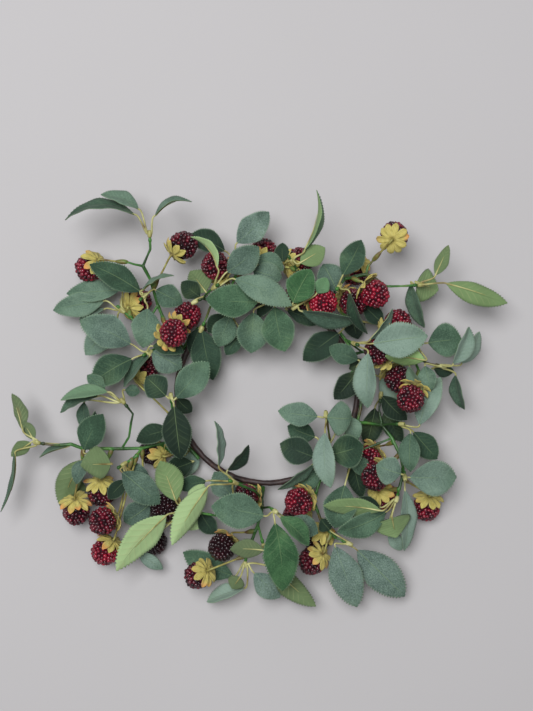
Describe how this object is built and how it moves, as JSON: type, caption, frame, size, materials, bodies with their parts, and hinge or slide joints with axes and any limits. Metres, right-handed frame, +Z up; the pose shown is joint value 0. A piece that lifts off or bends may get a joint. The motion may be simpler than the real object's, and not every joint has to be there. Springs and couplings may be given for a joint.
{
  "type": "candle ring",
  "caption": "Wreath-shaped candle ring: a tape-wrapped wire ring bound with branching artificial stems that carry serrated fabric leaves and clustered raspberries.",
  "frame": {"origin": "on the ring's axis, on the surface that the candle ring lies on", "axes": "+Z up from that surface along the ring's axis, +Y towards the picture's top edge, +X to its right"},
  "size_m": [0.3223, 0.2653, 0.0511],
  "materials": {
    "wire": "dull drawn wire",
    "tape": "dark brown wound floral tape",
    "stem": "moulded green plastic over wire",
    "sprig_frame": "pale yellow-green moulded plastic",
    "leaf": "printed woven leaf, pale green underside",
    "berry": "glossy crimson drupelets",
    "calyx": "mustard fabric with orange tips",
    "stalk": "olive brown plastic over wire"
  },
  "bodies": {
    "root": {"ring_wire": "wire", "ring_tape": "tape", "stem_upper_left": "stem", "sprig_frames_upper_left": "sprig_frame", "leaves_upper_left": "leaf", "berries_upper_left": "berry", "calyxes_upper_left": "calyx", "stalks_upper_left": "stalk", "stem_top": "stem", "sprig_frames_top": "sprig_frame", "leaves_top": "leaf", "berries_top": "berry", "calyxes_top": "calyx", "stalks_top": "stalk", "stem_upper_right": "stem", "sprig_frames_upper_right": "sprig_frame", "leaves_upper_right": "leaf", "berries_upper_right": "berry", "calyxes_upper_right": "calyx", "stalks_upper_right": "stalk", "stem_right": "stem", "sprig_frames_right": "sprig_frame", "leaves_right": "leaf", "berries_right": "berry", "calyxes_right": "calyx", "stalks_right": "stalk", "stem_lower_right": "stem", "sprig_frames_lower_right": "sprig_frame", "leaves_lower_right": "leaf", "berries_lower_right": "berry", "calyxes_lower_right": "calyx", "stalks_lower_right": "stalk", "stem_bottom": "stem", "sprig_frames_bottom": "sprig_frame", "leaves_bottom": "leaf", "berries_bottom": "berry", "calyxes_bottom": "calyx", "stalks_bottom": "stalk", "stem_lower_left": "stem", "sprig_frames_lower_left": "sprig_frame", "leaves_lower_left": "leaf", "berries_lower_left": "berry", "calyxes_lower_left": "calyx", "stalks_lower_left": "stalk", "stem_left": "stem", "sprig_frames_left": "sprig_frame", "leaves_left": "leaf", "berries_left": "berry", "calyxes_left": "calyx", "stalks_left": "stalk"}
  },
  "joints": []
}
